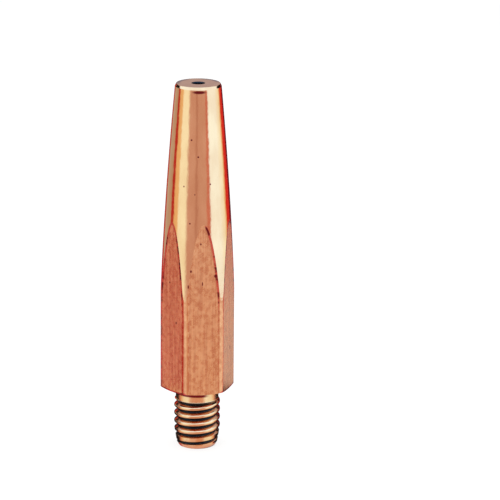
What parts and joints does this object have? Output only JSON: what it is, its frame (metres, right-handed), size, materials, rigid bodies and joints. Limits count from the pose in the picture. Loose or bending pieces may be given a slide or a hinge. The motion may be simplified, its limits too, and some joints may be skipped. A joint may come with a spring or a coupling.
{
  "type": "welding contact tip",
  "caption": "Copper contact tip for a wire-fed arc welding torch: threaded stub, hexagon body for a spanner and a long tapered nose, with the wire bore right through.",
  "frame": {"origin": "centre of the thread end's face", "axes": "+Z along the wire bore from the thread end to the nose, one hexagon flat facing -Y"},
  "size_m": [0.009, 0.008, 0.045],
  "materials": {
    "copper": "bright turned copper with drawn hexagon flats"
  },
  "bodies": {
    "root": {"contact_tip": "copper"}
  },
  "joints": []
}
